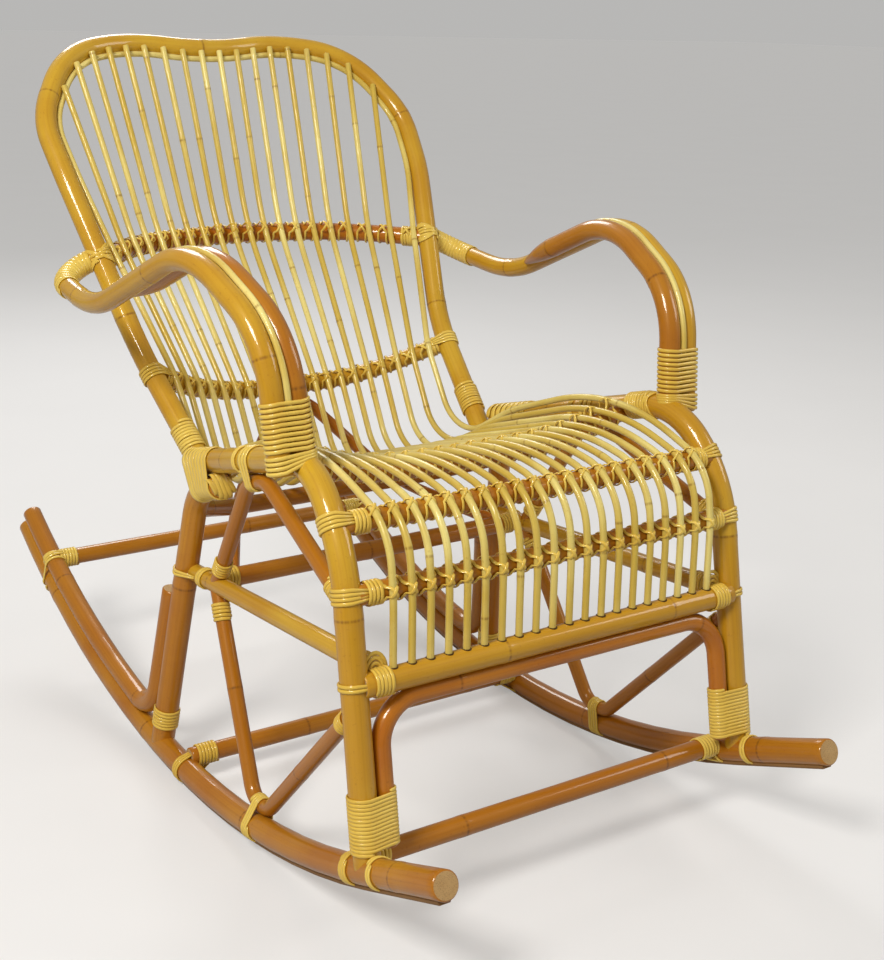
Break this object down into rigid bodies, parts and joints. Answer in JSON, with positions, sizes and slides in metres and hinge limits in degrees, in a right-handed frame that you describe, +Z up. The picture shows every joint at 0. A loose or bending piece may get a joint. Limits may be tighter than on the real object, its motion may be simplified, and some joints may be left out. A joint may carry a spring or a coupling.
{
  "type": "rattan rocking chair",
  "caption": "Rocking armchair of bent rattan poles on curved rockers, with a slatted cane seat and back in one sweep and strand-wound joints.",
  "frame": {"origin": "on the floor, midway between the two rockers, at the point where they rest", "axes": "+Z up, -Y the way the sitter faces, +X the sitter's left"},
  "size_m": [0.6326, 1.1139, 0.8847],
  "materials": {
    "pole": "varnished rattan pole",
    "cane": "varnished rattan cane",
    "strand": "varnished rattan peel",
    "sole": "worn rattan strip"
  },
  "bodies": {
    "root": {"arm_bindings": "strand", "arm_filler_left": "cane", "arm_filler_right": "cane", "arm_inner_left": "pole", "arm_inner_right": "pole", "arm_outer_left": "pole", "arm_outer_right": "pole", "back_hoop": "pole", "back_prop": "pole", "back_rail_lower": "pole", "back_rail_upper": "pole", "deck_cane_1": "cane", "deck_cane_2": "cane", "deck_cane_3": "cane", "deck_cane_4": "cane", "deck_cane_5": "cane", "deck_cane_6": "cane", "deck_cane_7": "cane", "deck_cane_8": "cane", "deck_cane_9": "cane", "elbow_lashings": "strand", "foot_lashings": "strand", "front_arch": "pole", "front_leg_left": "pole", "front_leg_right": "pole", "front_rail_lower": "pole", "front_rail_middle": "pole", "front_rail_upper": "pole", "heel_brace_left": "pole", "heel_brace_right": "pole", "heel_lashings": "strand", "hoop_lashings": "strand", "lower_brace_left": "pole", "lower_brace_right": "pole", "rail_lashings": "strand", "rear_leg_left": "pole", "rear_leg_right": "pole", "rim_cane": "cane", "rocker_left": "pole", "rocker_right": "pole", "rocker_sole_left": "sole", "rocker_sole_right": "sole", "seat_rail_middle": "pole", "seat_rail_rear": "pole", "side_stretcher_left": "pole", "side_stretcher_right": "pole", "stretcher_front": "pole", "stretcher_lashings": "strand", "stretcher_lower_rear": "pole", "stretcher_middle": "pole", "stretcher_rear": "pole", "upper_brace_left": "pole", "upper_brace_right": "pole"}
  },
  "joints": []
}
